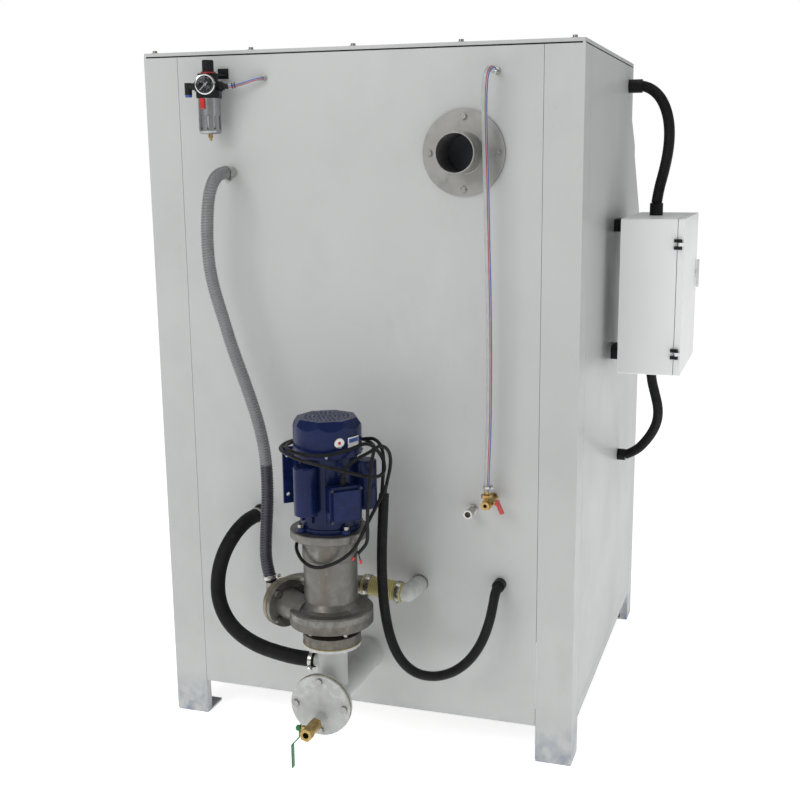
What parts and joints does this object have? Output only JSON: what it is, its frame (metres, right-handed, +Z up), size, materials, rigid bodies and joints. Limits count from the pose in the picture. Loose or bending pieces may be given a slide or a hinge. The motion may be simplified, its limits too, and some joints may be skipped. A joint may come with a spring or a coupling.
{
  "type": "parts washer tank",
  "caption": "Enclosed front-loading parts washer cabinet with external pump, hoses, vent spigot, air regulator and side control box.",
  "frame": {"origin": "floor level under the centre of the four corner posts, at the centre of the rectangle of foot anchor holes", "axes": "+Z up; +Y towards the loading lid, so the pump side faces -Y; +X towards the side with the electrical enclosure"},
  "size_m": [1.4283, 1.662, 1.913],
  "materials": {
    "cabinet_paint": "satin light grey powder coat, smudged",
    "enclosure_paint": "satin pale grey powder coat",
    "door_paint": "satin pale grey powder coat",
    "lid_paint": "satin light grey powder coat",
    "tank_steel": "2B stainless sheet",
    "spray_steel": "brushed stainless tube",
    "turntable_steel": "stainless flat bar, worn",
    "drive_iron": "painted gearmotor casting",
    "vent_steel": "stainless, weld tinted",
    "bolt_steel": "zinc plated",
    "bracket_black": "matt black",
    "regulator_black": "fine grained",
    "gauge_chrome": "polished",
    "needle_white": "matt white",
    "bowl_black": "fine grained",
    "lock_red": "gloss",
    "brass": "dull brass",
    "motor_blue": "deep blue gloss",
    "cowl_blue": "deep blue gloss",
    "capacitor_blue": "deep blue gloss",
    "terminal_blue": "deep blue gloss",
    "pump_casting": "machined and cast, brown stains",
    "volute_casting": "cast stainless, stained",
    "rotor_steel": "turned",
    "fan_plastic": "moulded",
    "pipe_white": "white paint, scuffed",
    "pipe_steel": "stainless, stained",
    "gasket_rubber": "matt",
    "valve_brass": "nickel worn to brass",
    "lever_green": "dipped plastic grip",
    "lever_red": "gloss red",
    "fitting_steel": "turned",
    "plate_zinc": "zinc plated",
    "handle_chrome": "polished",
    "gland_black": "moulded",
    "latch_black": "moulded",
    "seal_rubber": "matt",
    "air_tube": "matt",
    "grey_hose": "spiral ribbed",
    "black_hose": "fabric-marked rubber",
    "yellow_hose": "ribbed",
    "conduit_black": "corrugated",
    "cable_black": "matt",
    "clear_hose": "clear flexible tube"
  },
  "bodies": {
    "cabinet": {"air_hose": "air_tube", "base_rails": "cabinet_paint", "black_rubber_hose": "black_hose", "blind_flange": "pipe_white", "bolts": "bolt_steel", "cable_glands": "gland_black", "capacitor_housings": "capacitor_blue", "clear_level_hose": "clear_hose", "corner_posts": "cabinet_paint", "discharge_pipe": "pipe_steel", "drain_valve_body": "valve_brass", "enclosure_backplate": "plate_zinc", "enclosure_box": "enclosure_paint", "fan_cowl": "cowl_blue", "flange_gaskets": "gasket_rubber", "gauge_case": "gauge_chrome", "grey_spiral_hose": "grey_hose", "heater_elements": "spray_steel", "hood_header": "cabinet_paint", "hose_fittings": "fitting_steel", "lantern": "pump_casting", "load_side_panel": "cabinet_paint", "lower_conduit": "conduit_black", "motor_body": "motor_blue", "motor_cable": "cable_black", "motor_conduit": "conduit_black", "pump_side_panel": "cabinet_paint", "regulator_body": "regulator_black", "sensor_cable": "cable_black", "side_panels": "cabinet_paint", "spare_cable": "cable_black", "spray_pipes": "spray_steel", "sump_strainer": "tank_steel", "sump_tee": "pipe_white", "tap_body": "valve_brass", "terminal_box": "terminal_blue", "top_plate": "cabinet_paint", "turntable_drive": "drive_iron", "upper_conduit": "conduit_black", "vent_spigot": "vent_steel", "volute": "volute_casting", "wall_brackets": "bracket_black", "wash_tank": "tank_steel", "yellow_hose": "yellow_hose"},
    "lid": {"lid_shell": "lid_paint", "lid_seal": "seal_rubber"},
    "lid_latch": {"lid_latch": "latch_black"},
    "turntable": {"turntable": "turntable_steel"},
    "pump_rotor": {"shaft_and_rotor": "rotor_steel", "impeller": "rotor_steel", "cooling_fan": "fan_plastic"},
    "enclosure_door": {"enclosure_door": "door_paint"},
    "door_handle": {"door_handle": "handle_chrome"},
    "drain_valve": {"drain_valve_lever": "lever_green"},
    "tap_lever": {"tap_lever": "lever_red"},
    "regulator_knob": {"regulator_knob": "regulator_black"},
    "gauge_needle": {"gauge_needle": "needle_white"},
    "filter_bowl": {"filter_bowl": "bowl_black"},
    "bowl_lock": {"bowl_lock": "lock_red"},
    "bowl_drain": {"bowl_drain": "brass"}
  },
  "joints": [
    {"name": "lid_hinge", "type": "hinge", "parent": "cabinet", "child": "lid", "pos_m": [0, 0.352, 1.645], "axis": [1, 0, 0], "range_deg": [0, 75]},
    {"name": "lid_latch_turn", "type": "hinge", "parent": "lid", "child": "lid_latch", "pos_m": [0, 0.587, 0.945], "axis": [0, 1, 0], "range_deg": [0, 90]},
    {"name": "turntable_spin", "type": "hinge", "parent": "cabinet", "child": "turntable", "pos_m": [0, 0.02, 0.435], "axis": [0, 0, 1], "continuous": true},
    {"name": "pump_spin", "type": "hinge", "parent": "cabinet", "child": "pump_rotor", "pos_m": [0.015, -0.844, 0.7], "axis": [0, 0, 1], "continuous": true},
    {"name": "enclosure_door_hinge", "type": "hinge", "parent": "cabinet", "child": "enclosure_door", "pos_m": [0.807, -0.233, 1.24], "axis": [0, 0, -1], "range_deg": [0, 110]},
    {"name": "door_handle_turn", "type": "hinge", "parent": "enclosure_door", "child": "door_handle", "pos_m": [0.817, 0.178, 1.278], "axis": [1, 0, 0], "range_deg": [0, 90]},
    {"name": "drain_lever_turn", "type": "hinge", "parent": "cabinet", "child": "drain_valve", "pos_m": [0.018, -1.003, 0.228], "axis": [-1, 0, 0], "range_deg": [0, 90]},
    {"name": "tap_lever_turn", "type": "hinge", "parent": "cabinet", "child": "tap_lever", "pos_m": [0.39, -0.64, 0.745], "axis": [1, 0, 0], "range_deg": [0, 90]},
    {"name": "regulator_knob_turn", "type": "hinge", "parent": "cabinet", "child": "regulator_knob", "pos_m": [-0.38, -0.642, 1.86], "axis": [0, 0, 1], "range_deg": [-180, 180]},
    {"name": "gauge_needle_turn", "type": "hinge", "parent": "cabinet", "child": "gauge_needle", "pos_m": [-0.36887, -0.68353, 1.815], "axis": [-0.2588, 0.9659, 0], "range_deg": [-177, 93]},
    {"name": "bowl_twist", "type": "hinge", "parent": "cabinet", "child": "filter_bowl", "pos_m": [-0.38, -0.642, 1.74], "axis": [0, 0, 1], "range_deg": [0, 30]},
    {"name": "bowl_lock_slide", "type": "slide", "parent": "filter_bowl", "child": "bowl_lock", "axis": [0, 0, -1], "range_m": [0, 0.004]},
    {"name": "bowl_drain_turn", "type": "hinge", "parent": "filter_bowl", "child": "bowl_drain", "pos_m": [-0.38, -0.642, 1.684], "axis": [0, 0, 1], "range_deg": [0, 90]}
  ]
}
